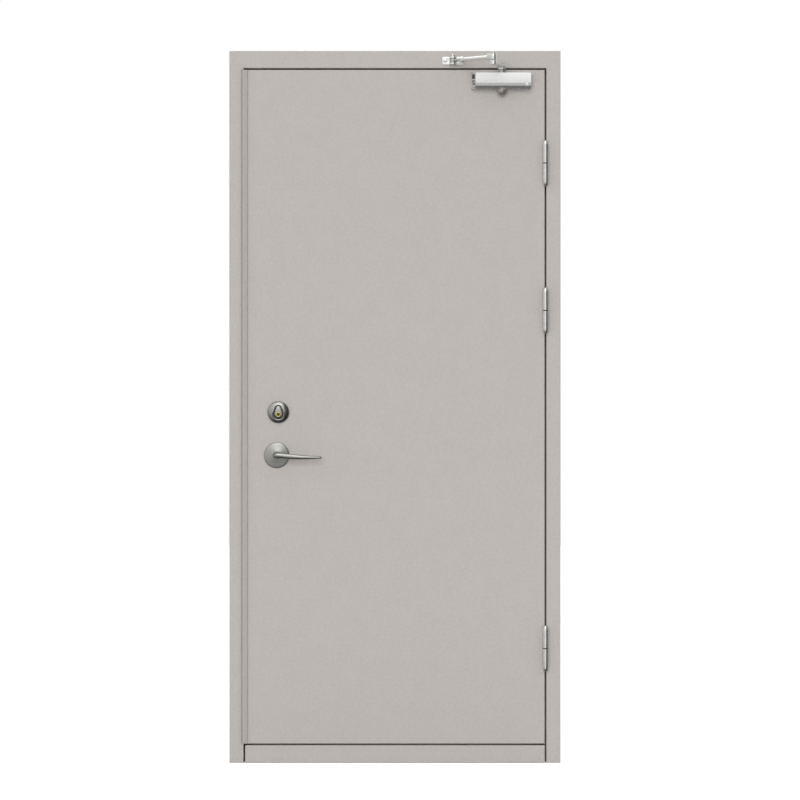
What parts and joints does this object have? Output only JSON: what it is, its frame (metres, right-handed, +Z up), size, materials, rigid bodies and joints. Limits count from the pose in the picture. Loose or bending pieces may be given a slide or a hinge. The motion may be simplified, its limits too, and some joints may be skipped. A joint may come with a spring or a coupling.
{
  "type": "steel fire door",
  "caption": "Single-leaf steel fire door in a pressed steel frame with sill, lift-off hinges, lever handle, deadbolt and overhead door closer with a folding arm.",
  "frame": {"origin": "middle of the sill's flat underside, at floor level and at mid depth of the frame", "axes": "+Z up; -Y is the front, towards which the leaf opens and where the closer sits; +X is the hinge side seen from the front"},
  "size_m": [1, 0.344, 2.15],
  "materials": {
    "frame_paint": "warm grey powder coat, fine texture, half matt",
    "leaf_paint": "warm grey powder coat, fine texture, half matt",
    "fire_seal": "matt black seal strip",
    "hinge_steel": "satin steel",
    "zinc_steel": "zinc coated",
    "brass": "plain brass",
    "closer_silver": "silver paint on die-cast aluminium",
    "satin_steel": "satin stainless steel",
    "grey_plastic": "grey moulded plastic",
    "mineral_board": "pressed mineral board, hidden in the leaf"
  },
  "bodies": {
    "frame": {"hinge_jamb": "frame_paint", "lock_jamb": "frame_paint", "frame_head": "frame_paint", "sill": "frame_paint", "hinge_side_seal": "fire_seal", "lock_side_seal": "fire_seal", "head_seal": "fire_seal", "hinge_1_frame_half": "hinge_steel", "hinge_2_frame_half": "hinge_steel", "hinge_3_frame_half": "hinge_steel", "hinge_1_washer": "grey_plastic", "hinge_2_washer": "grey_plastic", "hinge_3_washer": "grey_plastic", "closer_shoe": "closer_silver", "shoe_pivot_screw": "zinc_steel"},
    "leaf": {"leaf_front_pan": "leaf_paint", "leaf_back_pan": "leaf_paint", "leaf_core": "mineral_board", "lock_edge_lip": "leaf_paint", "hinge_1_leaf_half": "hinge_steel", "hinge_2_leaf_half": "hinge_steel", "hinge_3_leaf_half": "hinge_steel", "latch_faceplate": "zinc_steel", "latch_bolt": "zinc_steel", "deadbolt_faceplate": "zinc_steel", "deadbolt": "zinc_steel", "lever_rose_front": "satin_steel", "lever_rose_back": "satin_steel", "deadbolt_collar": "satin_steel", "thumbturn_collar": "satin_steel", "deadbolt_cylinder": "satin_steel", "cylinder_plug": "brass", "thumbturn": "satin_steel", "closer_body": "closer_silver", "closer_end_cap": "closer_silver", "closer_pinion_cap": "grey_plastic"},
    "lever": {"lever_front": "satin_steel", "lever_back": "satin_steel", "lever_spindle": "zinc_steel"},
    "closer_main_arm": {"main_arm": "closer_silver", "closer_pinion": "zinc_steel"},
    "closer_forearm": {"forearm_rod": "closer_silver", "forearm_tube": "closer_silver", "forearm_clamp": "zinc_steel", "elbow_screw": "zinc_steel"}
  },
  "joints": [
    {"name": "leaf_swing", "type": "hinge", "parent": "frame", "child": "leaf", "pos_m": [0.4545, -0.066, 0], "axis": [0, 0, 1], "range_deg": [0, 110], "stiffness_Nm_per_rad": 12},
    {"name": "lever_turn", "type": "hinge", "parent": "leaf", "child": "lever", "pos_m": [-0.357, -0.03, 0.929], "axis": [0, 1, 0], "range_deg": [0, 45], "stiffness_Nm_per_rad": 1.5, "springref_deg": -34.38},
    {"name": "main_arm_turn", "type": "hinge", "parent": "leaf", "child": "closer_main_arm", "pos_m": [0.323, -0.077, 2.09], "axis": [0, 0, 1], "range_deg": [-173, 0]},
    {"name": "forearm_turn", "type": "hinge", "parent": "frame", "child": "closer_forearm", "pos_m": [0.175, -0.077, 2.12], "axis": [0, 0, 1], "range_deg": [0, 10]}
  ],
  "couplings": [
    {"joint": "main_arm_turn", "follows": "leaf_swing", "ratio": -1.5582},
    {"joint": "forearm_turn", "follows": "leaf_swing", "ratio": 0.07766}
  ]
}
